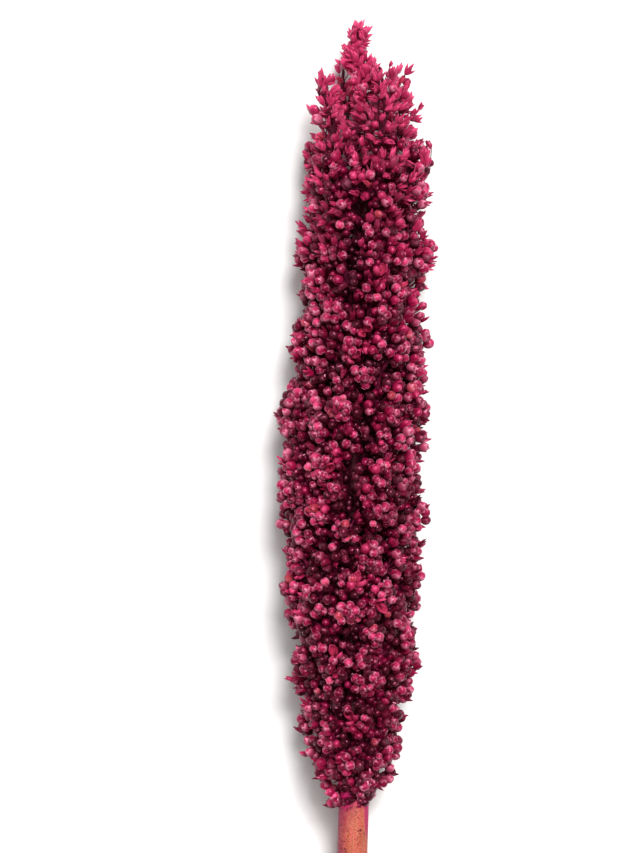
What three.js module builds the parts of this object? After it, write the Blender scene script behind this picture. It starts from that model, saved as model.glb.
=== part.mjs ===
// A dried sorghum seed head, cut with a short stem and lying on its side.
//
// The stem runs on through the head as its axis, the rachis. The branches stand round the rachis
// in whorls, and each carries its grains as one plain solid. A branch starts at the rachis, bows
// outward and ends on the outside of the head, so every whorl lies over the start of the next one,
// as shingles do. The last branch stands on the end of the rachis and is the head's tip.
//
// Millimetres, +Z up. +Y runs along the head to its tip and +X across it. The head rests on Z = 0,
// and the origin is the middle of the underside of its box.

import * as THREE from "three";

// ---- Driving dimensions ----

const HEAD_LENGTH = 232; // from the lowest grains to the tip
const HEAD_RADIUS = 23.5; // at the widest place
const STEM_LENGTH = 75; // from the cut to the lowest grains
const STEM_RADIUS = 4.5;
const RACHIS_RADIUS = 3.2; // just inside the head
const SHOULDER = 12; // height over which the stem narrows to the rachis
const RACHIS_END = 192; // height in the head where the rachis stops
const RACHIS_END_RADIUS = 1.1;
const TIP_BRANCH_RADIUS = 4.9;
const TIP_SWELL = 11; // how far before and after the rachis's end the tip branch swells
const TIP_NARROWING = 0.85; // its radius at the very tip, as a share of the full one
const TIP_NARROWS_FROM = 0.5; // share of its length above which it narrows

const WHORL_SIZES = [5, 6, 7, 7, 7, 6, 6, 5, 4]; // branches in each whorl, from the lowest
const FIRST_WHORL_END = 24; // height where the lowest branches end
const LAST_WHORL_END = 224;
const BRANCH_REACH = 58; // length of a branch along the head
const LOWEST_BASE = -2; // height where the lowest whorl leaves the rachis
const FREE_FROM = 0.92; // share of that length after which a branch lies on the outline
const FIRST_FREE_FROM = 0.3; // the same for the lowest whorl, which stands out at once
const SHORTEST_BY = 6; // how much shorter than its whorl a branch may be
const TOP_SHORTEST_BY = 8; // the same for the last whorl
const STRANDS_FROM = 192; // height above which the branches of the last whorl draw apart as strands
const STRAND_WIDTH = 0.5; // width of a strand's end, as a share of the full branch
const STRAND_DEPTH = 8; // and its thickness
const GAP = 0.5; // clearance between neighbouring branches
const THINNEST = 0.3; // least thickness of a branch where the next whorl lies over it
const LEAST_HALF_ANGLE = 0.02; // in radians, for a branch squeezed between its neighbours
const START_ABOVE_BASE = 1; // how far above its whorl's base a branch starts
const FATTEST = 1.05; // radius of the fullest branch's end, as a share of the outline
const LEANEST = 0.97; // the same for the leanest branch
const WHORL_TURN = 2.516; // radians from one whorl to the next, so that branches don't line up
const UNEVENNESS = 0.3; // how far a branch may stand out of its even place, in shares of its width
const TWIST = 0.35; // radians that the whorls turn over the length of the head
const PRESSED = 2.3; // how far the underside is pressed flat where the head rests

// Outer radius of the head as shares of HEAD_RADIUS, at even steps from the base to the tip.
const OUTLINE = [0.46, 0.78, 0.95, 0.98, 1.0, 0.92, 0.89, 0.8, 0.6];
// Where the head's axis lies, to the side and up, at the same steps.
const AXIS_SIDE = [0, -0.4, -1, -0.6, 0.4, 2, 3.4, 4, 0.8];
const AXIS_RISE = [0, 0, 0, 0, 0, -0.2, -0.8, -1.8, -3];
const STEM_LEAN = 0.03; // sideways run of the stem for each millimetre below the head

const SIDES = 12; // corners of a branch's section
const RINGS = 9; // steps along a branch
const END_FULLNESS = 0.55; // below 1 keeps a branch thick toward its two ends
const SECTION_FULLNESS = 0.75; // below 1 makes its section squarer
const STEM_SIDES = 20;
const STEM_STEPS = 26;

// ---- Materials ----

const grains = new THREE.MeshStandardMaterial({ color: 0x8a1f45, roughness: 0.55, metalness: 0 });
const stalk = new THREE.MeshStandardMaterial({ color: 0xb8664a, roughness: 0.6, metalness: 0 });

// ---- Curves that shape the head ----

// A smooth line through values that stand at even steps over 0 to 1.
function evenCurve(values) {
  const curve = new THREE.SplineCurve(values.map((v, i) => new THREE.Vector2(i, v)));
  return (share) => curve.getPoint(THREE.MathUtils.clamp(share, 0, 1)).y;
}

const outlineAt = evenCurve(OUTLINE);
const sideAt = evenCurve(AXIS_SIDE);
const riseAt = evenCurve(AXIS_RISE);

// The middle of the head or stem at a height above the lowest grains.
function axisAt(height) {
  const share = height / HEAD_LENGTH;
  const lean = Math.min(height, 0) * STEM_LEAN;
  return new THREE.Vector3(sideAt(share) + lean, height, riseAt(share));
}

// The radius of the stem, and above the lowest branches that of the rachis.
function stalkRadius(height) {
  if (height < 0) return STEM_RADIUS;
  const share = Math.min(height / RACHIS_END, 1);
  const rachis = THREE.MathUtils.lerp(RACHIS_RADIUS, RACHIS_END_RADIUS, share);
  return THREE.MathUtils.lerp(STEM_RADIUS, rachis, THREE.MathUtils.smoothstep(height, 0, SHOULDER));
}

// ---- Whorls ----

const whorls = WHORL_SIZES.map((size, i) => {
  const end = THREE.MathUtils.lerp(FIRST_WHORL_END, LAST_WHORL_END, i / (WHORL_SIZES.length - 1));
  const freeFrom = i === 0 ? FIRST_FREE_FROM : FREE_FROM;
  return { size, end, freeFrom, base: Math.max(end - BRANCH_REACH, LOWEST_BASE + i) };
});

// The outer surface of a whorl: on the rachis at its base, and on the head's outline near its end.
function whorlRadius(index, height) {
  const rachis = stalkRadius(height);
  if (index === whorls.length) return tipBranchRadius(height);
  const { base, end, freeFrom } = whorls[index];
  const share = (height - base) / (end - base) / freeFrom;
  const rise = Math.sin((Math.PI / 2) * THREE.MathUtils.clamp(share, 0, 1));
  const outline = HEAD_RADIUS * outlineAt(height / HEAD_LENGTH);
  return THREE.MathUtils.lerp(rachis, outline, rise);
}

// The branch at the tip: round, swelling just above the rachis's end and narrowing to the top.
function tipBranchRadius(height) {
  const swell = THREE.MathUtils.smoothstep(height, RACHIS_END - TIP_SWELL, RACHIS_END + TIP_SWELL);
  return THREE.MathUtils.lerp(stalkRadius(height), TIP_BRANCH_RADIUS, swell);
}

// Repeatable random numbers from 0 to 1.
let seed = 7;
function random() {
  seed = (seed * 16807) % 2147483647;
  return seed / 2147483647;
}

// ---- Shapes ----

// Moves every vertex of a unit sphere, whose own Y runs along the branch.
// place(along, round, across) gives the point for a share along the branch, from 0 to 1,
// and a place in its section, each from -1 to 1.
function shapedSphere(place) {
  const geometry = new THREE.SphereGeometry(1, SIDES, RINGS);
  const position = geometry.attributes.position;
  const point = new THREE.Vector3();
  const fuller = (value) => Math.sign(value) * Math.abs(value) ** SECTION_FULLNESS;
  for (let i = 0; i < position.count; i++) {
    point.fromBufferAttribute(position, i);
    const ring = Math.max(Math.hypot(point.x, point.z), 1e-6);
    const size = ring ** END_FULLNESS;
    const round = size * fuller(point.x / ring);
    const across = size * fuller(point.z / ring);
    position.setXYZ(i, ...place((1 + point.y) / 2, round, across).toArray());
  }
  geometry.computeVertexNormals();
  return geometry;
}

// One branch with its grains, between two angles and between its whorl and the next one.
function branchGeometry(index, start, stop, origin) {
  const { base, end } = whorls[index];
  const isLast = index === whorls.length - 1;
  const tip = end - random() * (isLast ? TOP_SHORTEST_BY : SHORTEST_BY);
  const fatness = THREE.MathUtils.lerp(LEANEST, FATTEST, random());
  return shapedSphere((along, round, across) => {
    const height = THREE.MathUtils.lerp(base + START_ABOVE_BASE, tip, along);
    const free = THREE.MathUtils.smoothstep(height, base, end);
    const strand = isLast ? THREE.MathUtils.smoothstep(height, STRANDS_FROM, tip) : 0;
    const outer = whorlRadius(index, height) * THREE.MathUtils.lerp(1, fatness, free) - GAP / 2;
    const next = Math.min(whorlRadius(index + 1, height) + GAP / 2, outer - THINNEST);
    const inner = Math.max(next, THREE.MathUtils.lerp(next, outer - STRAND_DEPTH, strand));
    const radius = THREE.MathUtils.lerp(inner, outer, (across + 1) / 2);
    const narrowing = THREE.MathUtils.lerp(1, STRAND_WIDTH, strand);
    const halfAngle = Math.max((stop - start) / 2 - GAP / 2 / radius, LEAST_HALF_ANGLE) * narrowing;
    const middle = (start + stop) / 2 + (TWIST * height) / HEAD_LENGTH;
    const angle = middle - round * halfAngle;
    const point = axisAt(height);
    point.x += radius * Math.cos(angle);
    point.z += radius * Math.sin(angle);
    point.z = Math.max(point.z, PRESSED - HEAD_RADIUS);
    return point.sub(origin);
  });
}

// The branch at the tip, round and standing on the rachis's end.
function tipBranchGeometry(origin) {
  return shapedSphere((along, round, across) => {
    const height = THREE.MathUtils.lerp(RACHIS_END + START_ABOVE_BASE, HEAD_LENGTH, along);
    const upper = THREE.MathUtils.smoothstep(along, TIP_NARROWS_FROM, 1);
    const narrowing = THREE.MathUtils.lerp(1, TIP_NARROWING, upper);
    const radius = (tipBranchRadius(height) - GAP / 2) * narrowing;
    const point = axisAt(height);
    point.x += radius * round;
    point.z += radius * across;
    return point.sub(origin);
  });
}

// The stem and the rachis, turned about the head's axis and bent along it.
function stalkGeometry() {
  const profile = [new THREE.Vector2(0, -STEM_LENGTH)];
  for (let i = 0; i <= STEM_STEPS; i++) {
    const height = THREE.MathUtils.lerp(-STEM_LENGTH, RACHIS_END, i / STEM_STEPS);
    profile.push(new THREE.Vector2(stalkRadius(height), height));
  }
  profile.push(new THREE.Vector2(0, RACHIS_END));
  const geometry = new THREE.LatheGeometry(profile, STEM_SIDES);
  const position = geometry.attributes.position;
  for (let i = 0; i < position.count; i++) {
    const middle = axisAt(position.getY(i));
    position.setX(i, position.getX(i) + middle.x);
    position.setZ(i, position.getZ(i) + middle.z);
  }
  geometry.computeVertexNormals();
  return geometry;
}

// ---- The object ----

function addMesh(group, name, geometry, material, position = new THREE.Vector3()) {
  const mesh = new THREE.Mesh(geometry, material);
  mesh.name = name;
  mesh.position.copy(position);
  group.add(mesh);
}

const head = new THREE.Group();
addMesh(head, "stem_and_rachis", stalkGeometry(), stalk);

whorls.forEach(({ size, base }, index) => {
  const origin = axisAt(base);
  const width = (2 * Math.PI) / size;
  const edges = Array.from({ length: size }, (_, k) => {
    return index * WHORL_TURN + (k + UNEVENNESS * random()) * width;
  });
  edges.forEach((start, k) => {
    const stop = k + 1 < size ? edges[k + 1] : edges[0] + 2 * Math.PI;
    const name = `whorl_${index + 1}_branch_${k + 1}`;
    addMesh(head, name, branchGeometry(index, start, stop, origin), grains, origin);
  });
});

const tipOrigin = axisAt(RACHIS_END);
addMesh(head, "tip_branch", tipBranchGeometry(tipOrigin), grains, tipOrigin);

// The head is set down on Z = 0, in the middle of X and Y.
const box = new THREE.Box3().setFromObject(head);
const middle = box.getCenter(new THREE.Vector3());
head.position.set(-middle.x, -middle.y, -box.min.z);

const seedHead = new THREE.Group();
seedHead.add(head);

export default seedHead;
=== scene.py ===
"""A dried, dyed sorghum seed head on a short cut stem, lying on its side.

Every branch of the head is one piece: its twigs, and on them spikelets, which are round grains held
by two husks, open husks and tufts of pointed, barren florets. The spikelets are modelled once each
and planted over the branch solids of the frame. The stem with the rachis is a piece of its own.
"""

import math
from functools import partial

import bmesh
import bpy
import numpy as np
from bpy.props import FloatProperty, FloatVectorProperty, IntProperty, PointerProperty
from mathutils import Matrix, Vector, noise
from mathutils.bvhtree import BVHTree
from mathutils.kdtree import KDTree


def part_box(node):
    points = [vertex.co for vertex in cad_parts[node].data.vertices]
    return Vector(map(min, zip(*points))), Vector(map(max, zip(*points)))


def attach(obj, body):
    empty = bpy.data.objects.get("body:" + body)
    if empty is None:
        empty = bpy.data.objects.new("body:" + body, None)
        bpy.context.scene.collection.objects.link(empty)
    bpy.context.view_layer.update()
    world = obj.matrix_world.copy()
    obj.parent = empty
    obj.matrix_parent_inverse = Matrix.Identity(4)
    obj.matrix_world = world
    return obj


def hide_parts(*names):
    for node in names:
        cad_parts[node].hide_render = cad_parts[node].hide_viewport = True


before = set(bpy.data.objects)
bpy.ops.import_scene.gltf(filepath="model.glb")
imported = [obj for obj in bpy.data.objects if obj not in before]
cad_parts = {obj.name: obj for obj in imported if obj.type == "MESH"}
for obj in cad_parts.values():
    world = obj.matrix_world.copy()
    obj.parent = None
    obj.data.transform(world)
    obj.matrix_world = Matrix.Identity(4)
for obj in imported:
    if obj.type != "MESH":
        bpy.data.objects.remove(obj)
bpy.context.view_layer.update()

bl_info = {
    "name": "Sorghum Seed Head",
    "version": (1, 0, 0),
    "blender": (4, 5, 0),
    "location": "3D View > Sidebar > Seed Head",
    "description": "Builds a dyed sorghum seed head around its packed frame",
    "category": "Add Mesh",
}

MM = 0.001
STALK = "stem_and_rachis"
TIP = "tip_branch"
BRANCHES = sorted(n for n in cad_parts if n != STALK)

# ---- Where things are, from the frame ----


def corners_of(node):
    """The vertices of a node of the frame, one row each."""
    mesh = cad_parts[node].data
    co = np.empty(len(mesh.vertices) * 3, np.float32)
    mesh.vertices.foreach_get("co", co)
    return co.reshape(-1, 3).astype(float)


def rings_of(node):
    """The node cut across: for each ring of its vertices the height Y, the middle and the radius."""
    co = corners_of(node)
    heights = np.unique(co[:, 1].round(5))
    rings = [co[abs(co[:, 1] - y) < 2e-5] for y in heights]
    middles = np.array([(r.min(0) + r.max(0)) / 2 for r in rings])
    radii = np.array([np.ptp(r[:, 0]) / 2 for r in rings])
    return heights, middles, radii


STALK_RINGS = rings_of(STALK)
TIP_RINGS = rings_of(TIP)
HEAD_FOOT = min(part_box(n)[0].y for n in BRANCHES)  # the lowest grains
HEAD_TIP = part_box(TIP)[1].y
HEAD_LENGTH = HEAD_TIP - HEAD_FOOT
AXIS_Y = np.concatenate([STALK_RINGS[0], TIP_RINGS[0][1:]])
AXIS_POINTS = np.concatenate([STALK_RINGS[1], TIP_RINGS[1][1:]])


def axis_at(y):
    """The middle of the head, or of the stem, at these values of Y."""
    x, z = (np.interp(y, AXIS_Y, AXIS_POINTS[:, k]) for k in (0, 2))
    return np.stack([x, y, z], -1)


def share_at(y):
    """How far up the head a value of Y is, from 0 at the lowest grains to 1 at the tip."""
    return (y - HEAD_FOOT) / HEAD_LENGTH


# ---- Settings ----


def linear(code):
    """An sRGB hex colour as the linear colour that a shader takes."""
    parts = [int(code[i : i + 2], 16) / 255 for i in (1, 3, 5)]
    return [p / 12.92 if p <= 0.04045 else ((p + 0.055) / 1.055) ** 2.4 for p in parts]


def length(name, description, default):
    return FloatProperty(
        name=name, description=description, default=default, min=0, subtype="DISTANCE", unit="LENGTH"
    )


def colour(name, description, code):
    return FloatVectorProperty(
        name=name,
        description=description,
        default=(*linear(code), 1),
        size=4,
        min=0,
        max=1,
        subtype="COLOR",
    )


class SeedHeadSizes(bpy.types.PropertyGroup):
    grain: length("Grain width", "Width of a plump grain in its husks", 2.7 * MM)
    spacing: length("Spikelet spacing", "Usual distance between neighbouring spikelets", 2.3 * MM)
    inner_spacing: length("Inner spacing", "Distance between the grains under the outer ones", 2.9 * MM)
    inner_depth: length("Inner depth", "How far the inner grains lie under the outer ones", 2.2 * MM)
    lump: length("Lump width", "Width of the lump of spikelets at the end of a twig", 8.6 * MM)
    lump_depth: length("Lump depth", "How far a lump falls away to its edge", 2.0 * MM)
    stand_out: length("Stand out", "How far lumps stand out of the branch solids", 1.4 * MM)
    twig: length("Twig width", "Width of the twig that holds a lump", 1.0 * MM)
    husk: length("Husk thickness", "Thickness of a husk", 0.14 * MM)
    seed: IntProperty(name="Seed", description="Start of the random numbers", default=11, min=0)


class SeedHeadColours(bpy.types.PropertyGroup):
    # This dark dye also serves as painted shade on the grains, husks, twigs and cane that lie deep in the
    # head.
    dark_dye_and_shade: colour("Grain, dark", "Dye on the deepest and most soaked grains", "#26020C")
    grain: colour("Grain", "Dye on most grains", "#880638")
    # This worn pink also serves as a painted highlight on the crown of each grain.
    grain_worn_and_highlight: colour("Grain, worn", "Dye worn thin on the crown of a grain", "#E04678")
    husk: colour("Husk", "Dye on the husks", "#8E0A3C")
    husk_light: colour("Husk, light", "Dye on the thin husks near the tip of the head", "#E67AA2")
    husk_edge: colour("Husk edge", "The thin, pale edge and tip of a husk", "#F8A0BE")
    ripe: colour("Ripe red", "Orange red that shows through the dye here and there", "#D04A52")
    twig: colour("Twig", "Dye on twigs", "#8C0F46")
    cane: colour("Cane", "Bare skin of the stem", "#A24829")
    stain: colour("Stain", "Dye on the stem", "#B8145C")
    speck: colour("Speck", "Dark specks on the stem", "#5A1224")
    pith: colour("Pith", "Dry pith in the cut end", "#E3C7A4")
    floor: colour("Floor", "Matt studio floor", "#F4F3F2")


def sizes():
    return bpy.context.scene.seed_head_sizes


def colours():
    return bpy.context.scene.seed_head_colours


# ---- Materials ----

TIMES = {"operation": "MULTIPLY"}  # settings of a Math node that multiplies
TIMES_PLUS = {"operation": "MULTIPLY_ADD"}  # first times second, plus third
SMOOTH = {"interpolation_type": "SMOOTHSTEP"}  # a Map Range node that draws a range out smoothly
COLOURS = {"data_type": "RGBA", "take": 2}  # a Mix node for colours; its inputs are 0, 6 and 7
PATCHY = 0.55  # how much of a noise lies in its finer blotches
GRAIN_GLOSS = (1, 0.26, 0.46, 1)  # the wax of a grain takes on its dye, and so does its gloss
HUSK_GLOSS = (1, 0.3, 0.5, 1)
CANE_GLOSS = (1, 0.6, 0.55, 1)
VEINS_APART = 0.35  # on a husk, in millimetres


def add_node(tree, kind, inputs=(), take=0, **settings):
    """Adds a shader node with its settings and links, and gives back one of its outputs. Its inputs
    are values or the sockets that feed them, in order or by their names or places."""
    made = tree.nodes.new("ShaderNode" + kind)
    for key, value in settings.items():
        setattr(made, key, value)
    for key, value in inputs.items() if isinstance(inputs, dict) else enumerate(inputs):
        if isinstance(value, bpy.types.NodeSocket):
            tree.links.new(value, made.inputs[key])
        else:
            made.inputs[key].default_value = value
    return made.outputs[take] if made.outputs else None


def start_material(name):
    """A new material, what adds a node to it, and the coordinates that its patterns read."""
    made = bpy.data.materials.new(name)
    made.use_nodes = True
    made.node_tree.nodes.clear()
    add = partial(add_node, made.node_tree)
    return made, add, add("TexCoord", take="Object")


def dyed_grain_material():
    """Sorghum grain, dyed whole and dried: a smooth waxy skin, darker towards the foot of the head and,
    as painted shade, where the spikelet lies deep in it; pink at the crown, partly from dye worn thin
    and partly as a painted highlight; with fine wrinkles from drying."""
    made, add, place = start_material("dyed_dried_grain")
    c = colours()
    along = add("SeparateXYZ", [add("Attribute", take="Vector", attribute_name="growth")])
    dye = add("SeparateXYZ", [add("Attribute", take="Vector", attribute_name="dye")])
    tone_and_shade, warmth, light = dye.node.outputs
    blotch = add("TexNoise", {"Vector": place, "Scale": 1 / (1.3 * MM), "Roughness": PATCHY})
    # The tone lowers the dye where the spikelet lies deep in the head: painted shade.
    level = add("Math", (blotch, 0.5, add("Math", (tone_and_shade, -0.25))), **TIMES_PLUS)
    taken = add("MapRange", (level, 0.0, 0.55), **SMOOTH)
    body = add("Mix", {0: taken, 6: c.dark_dye_and_shade, 7: c.grain}, **COLOURS)
    thin = add("Math", (light, 0.6), **TIMES)
    body = add("Mix", {0: thin, 6: body, 7: c.grain_worn_and_highlight}, **COLOURS)
    bare = add("Math", (warmth, 0.8), **TIMES)
    body = add("Mix", {0: bare, 6: body, 7: c.ripe}, **COLOURS)
    # Painted highlight, with some real wear: the crown of each grain is mixed towards the worn pink.
    crown = add("MapRange", (along, 0.55, 1.0), **SMOOTH)
    worn = add("Math", (crown, add("MapRange", (level, 0.3, 0.9, 0.0, 0.9), **SMOOTH)), **TIMES)
    body = add("Mix", {0: worn, 6: body, 7: c.grain_worn_and_highlight}, **COLOURS)
    wax = add("TexNoise", {"Vector": place, "Scale": 1 / (0.7 * MM), "Roughness": PATCHY})
    wrinkle = add(
        "TexNoise", {"Vector": place, "Scale": 1 / (0.45 * MM), "Detail": 3.0, "Roughness": PATCHY}
    )
    skin = {
        "Base Color": body,
        "Roughness": add("MapRange", (wax, 0.3, 0.7, 0.3, 0.48), **SMOOTH),
        "Normal": add("Bump", {"Height": wrinkle, "Distance": 0.05 * MM, "Strength": 0.6}),
        "Specular IOR Level": 0.9,
        "Specular Tint": GRAIN_GLOSS,
    }
    add("OutputMaterial", [add("BsdfPrincipled", skin)])
    return made


def dyed_husk_material():
    """Husk and bract of sorghum, dyed and dried: papery, ribbed along its length by fine veins, thin
    and pale at the edge and tip where light comes through, dark at the foot."""
    made, add, place = start_material("dyed_papery_husk")
    c = colours()
    growth = add("SeparateXYZ", [add("Attribute", take="Vector", attribute_name="growth")])
    along, across, edge = growth.node.outputs
    dye = add("SeparateXYZ", [add("Attribute", take="Vector", attribute_name="dye")])
    tone_and_shade, warmth, light = dye.node.outputs
    blotch = add("TexNoise", {"Vector": place, "Scale": 1 / (1.6 * MM), "Roughness": PATCHY})
    # The tone lowers the dye where the spikelet lies deep in the head: painted shade.
    level = add("Math", (blotch, 0.5, add("Math", (tone_and_shade, -0.25))), **TIMES_PLUS)
    taken = add("MapRange", (level, 0.0, 0.55), **SMOOTH)
    body = add("Mix", {0: taken, 6: c.dark_dye_and_shade, 7: c.husk}, **COLOURS)
    thin = add("Math", (light, 0.8), **TIMES)
    body = add("Mix", {0: thin, 6: body, 7: c.husk_light}, **COLOURS)
    bare = add("Math", (warmth, 0.85), **TIMES)
    body = add("Mix", {0: bare, 6: body, 7: c.ripe}, **COLOURS)
    foot = add("MapRange", (along, 0.0, 0.5, 0.6, 0.0), **SMOOTH)
    body = add("Mix", {0: foot, 6: body, 7: c.dark_dye_and_shade}, **COLOURS)
    turns = add("Math", (across, 2 * math.pi / VEINS_APART), **TIMES)
    veins = add("Math", [turns], operation="SINE")
    vein = add("MapRange", (veins, -1.0, 1.0), **SMOOTH)
    vein = add("Math", (vein, add("MapRange", (level, 0.1, 0.8, 0.0, 0.2), **SMOOTH)), **TIMES)
    body = add("Mix", {0: vein, 6: body, 7: c.husk_edge}, **COLOURS)
    pale = add("Math", (edge, 2.2), operation="POWER")
    pale = add("Math", (pale, add("MapRange", (level, 0.05, 0.6, 0.0, 0.9), **SMOOTH)), **TIMES)
    body = add("Mix", {0: pale, 6: body, 7: c.husk_edge}, **COLOURS)
    rub = add("TexNoise", {"Vector": place, "Scale": 1 / (0.9 * MM), "Roughness": PATCHY})
    paper = add("TexNoise", {"Vector": place, "Scale": 1 / (0.5 * MM), "Roughness": PATCHY})
    ribbed = add("Math", (veins, paper))
    skin = {
        "Base Color": body,
        "Roughness": add("MapRange", (rub, 0.3, 0.7, 0.38, 0.52), **SMOOTH),
        "Normal": add("Bump", {"Height": ribbed, "Distance": 0.02 * MM, "Strength": 0.7}),
        "Specular IOR Level": 0.55,
        "Specular Tint": HUSK_GLOSS,
    }
    add("OutputMaterial", [add("BsdfPrincipled", skin)])
    return made


def dyed_twig_material():
    """Twig of sorghum, dyed and dried: a dull stringy skin with darker joints. A low tone holds it
    near the dark dye, as painted shade for twigs deep in the head.
    """
    made, add, place = start_material("dyed_dried_twig")
    c = colours()
    tone_and_shade = add("SeparateXYZ", [add("Attribute", take="Vector", attribute_name="dye")])
    streak = add(
        "TexNoise", {"Vector": place, "Scale": 1 / (1.1 * MM), "Detail": 3.0, "Roughness": PATCHY}
    )
    level = add("Math", (streak, 0.8, add("Math", (tone_and_shade, -0.4))), **TIMES_PLUS)
    taken = add("MapRange", (level, 0.0, 0.8), **SMOOTH)
    bark = add("TexNoise", {"Vector": place, "Scale": 1 / (0.4 * MM), "Roughness": PATCHY})
    skin = {
        "Base Color": add("Mix", {0: taken, 6: c.dark_dye_and_shade, 7: c.twig}, **COLOURS),
        "Roughness": add("MapRange", (streak, 0.2, 0.8, 0.5, 0.7), **SMOOTH),
        "Normal": add("Bump", {"Height": bark, "Distance": 0.05 * MM, "Strength": 0.6}),
        "Specular IOR Level": 0.25,
    }
    add("OutputMaterial", [add("BsdfPrincipled", skin)])
    return made


def cane_material():
    """Skin of the sorghum cane, dried and half dyed: waxy and tan where the dye ran off, magenta at
    the sides and under the grains, darkened as painted shade inside the head, streaked along its fibres
    and specked with dark spots."""
    made, add, place = start_material("dried_dyed_cane")
    c = colours()
    growth = add("SeparateXYZ", [add("Attribute", take="Vector", attribute_name="growth")])
    face, below, side = growth.node.outputs  # below the grains, in millimetres
    drawn = add("Mapping", {"Vector": place, "Scale": (1, 0.08, 1)})
    fibre = add(
        "TexNoise", {"Vector": drawn, "Scale": 1 / (0.5 * MM), "Detail": 3.0, "Roughness": PATCHY}
    )
    broad = add("TexNoise", {"Vector": drawn, "Scale": 1 / (2.4 * MM), "Roughness": PATCHY})
    patch = add("TexNoise", {"Vector": place, "Scale": 1 / (5 * MM), "Detail": 4.0, "Roughness": 0.65})
    grain = add("TexNoise", {"Vector": place, "Scale": 1 / (0.45 * MM), "Roughness": PATCHY})
    ripe = add("MapRange", (fibre, 0.3, 0.7, 0.0, 0.6), **SMOOTH)
    skin = add("Mix", {0: ripe, 6: c.cane, 7: c.ripe}, **COLOURS)
    pale = add("MapRange", (grain, 0.35, 0.7, 0.0, 0.2), **SMOOTH)
    skin = add("Mix", {0: pale, 6: skin, 7: c.pith}, **COLOURS)
    # the dye lies thicker on one flank
    near = add("MapRange", (below, 1.0, 12.0, 0.3, 0.0), **SMOOTH)
    shade = add("Math", (side, -0.5, add("Math", (patch, 0.7, near), **TIMES_PLUS)), **TIMES_PLUS)
    flank = add("MapRange", (shade, 0.35, 1.0, 0.0, 0.85), **SMOOTH)
    skin = add("Mix", {0: flank, 6: skin, 7: c.twig}, **COLOURS)
    # a bare strip faces up, wider the farther it is from the grains
    run_off = add("MapRange", (below, 1.0, 16.0, -0.26, 0.26), **SMOOTH)
    edge = add("Math", (broad, 0.3, add("Math", (face, run_off))), **TIMES_PLUS)
    edge = add("Math", (fibre, 0.6, add("Math", (edge, -0.3))), **TIMES_PLUS)
    low = add("Math", (broad, 6.0, add("Math", (below, -3.0))), **TIMES_PLUS)
    low = add("MapRange", (low, 0.6, 3.4), **SMOOTH)
    bare = add("Math", (add("MapRange", (edge, 0.26, 0.5), **SMOOTH), low), **TIMES)
    streaks = add("Math", (fibre, 0.6), **TIMES)
    dyed = add("Mix", {0: streaks, 6: c.stain, 7: c.twig}, **COLOURS)
    body = add("Mix", {0: bare, 6: dyed, 7: skin}, **COLOURS)
    spots = add("TexVoronoi", {"Vector": place, "Scale": 1 / (0.9 * MM)})
    ragged = add("Math", (grain, 0.5, spots), **TIMES_PLUS)
    spot = add("MapRange", (ragged, 0.7, 0.52), **SMOOTH)
    crowd = add("TexNoise", {"Vector": place, "Scale": 1 / (5 * MM), "Detail": 3.0, "Roughness": PATCHY})
    crowd = add("Math", (side, -0.12, crowd), **TIMES_PLUS)
    spot = add("Math", (spot, add("MapRange", (crowd, 0.44, 0.56, 0.0, 0.9), **SMOOTH)), **TIMES)
    body = add("Mix", {0: spot, 6: body, 7: c.speck}, **COLOURS)
    # Painted shade: inside the head, under the grains, the cane is mixed towards the dark dye.
    inside = add("MapRange", (below, -2.0, -9.0, 0.0, 0.85), **SMOOTH)
    body = add("Mix", {0: inside, 6: body, 7: c.dark_dye_and_shade}, **COLOURS)
    ribbed = add("Math", (grain, 0.5, fibre), **TIMES_PLUS)
    skin = {
        "Base Color": body,
        "Roughness": add("MapRange", (broad, 0.3, 0.7, 0.46, 0.62), **SMOOTH),
        "Normal": add("Bump", {"Height": ribbed, "Distance": 0.1 * MM, "Strength": 0.8}),
        "Specular IOR Level": 0.35,
        "Specular Tint": CANE_GLOSS,
    }
    add("OutputMaterial", [add("BsdfPrincipled", skin)])
    return made


def pith_material():
    """Dry pith in the cut end: pale, dull and pored, each fibre bundle a darker dot."""
    made, add, place = start_material("dry_pith")
    c = colours()
    pores = add("TexVoronoi", {"Vector": place, "Scale": 1 / (0.7 * MM)})
    dot = add("MapRange", (pores, 0.35, 0.1, 0.0, 0.6), **SMOOTH)
    skin = {
        "Base Color": add("Mix", {0: dot, 6: c.pith, 7: c.ripe}, **COLOURS),
        "Roughness": 0.85,
        "Normal": add("Bump", {"Height": pores, "Distance": 0.15 * MM}),
    }
    add("OutputMaterial", [add("BsdfPrincipled", skin)])
    return made


def floor_material():
    """Matt painted board under soft studio light, with a faint unevenness of the paint."""
    made, add, place = start_material("matt_painted_board")
    c = colours()
    faint = add("TexNoise", {"Vector": place, "Scale": 1 / 0.12, "Roughness": PATCHY})
    faint = add("MapRange", (faint, 0.3, 0.7), **SMOOTH)
    duller = (*(0.985 * v for v in c.floor[:3]), 1)
    skin = {
        "Base Color": add("Mix", {0: faint, 6: duller, 7: c.floor}, **COLOURS),
        "Roughness": add("MapRange", (faint, 0.0, 1.0, 0.82, 0.9), **SMOOTH),
    }
    add("OutputMaterial", [add("BsdfPrincipled", skin)])
    return made


# ---- Modelling by hand ----


def deselect():
    if bpy.context.mode != "OBJECT":
        bpy.ops.object.mode_set(mode="OBJECT")
    bpy.ops.object.select_all(action="DESELECT")


def choose(*objects):
    """Makes these objects the selected ones, and the last one active."""
    deselect()
    for ob in objects:
        ob.select_set(True)
    bpy.context.view_layer.objects.active = objects[-1]


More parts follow.
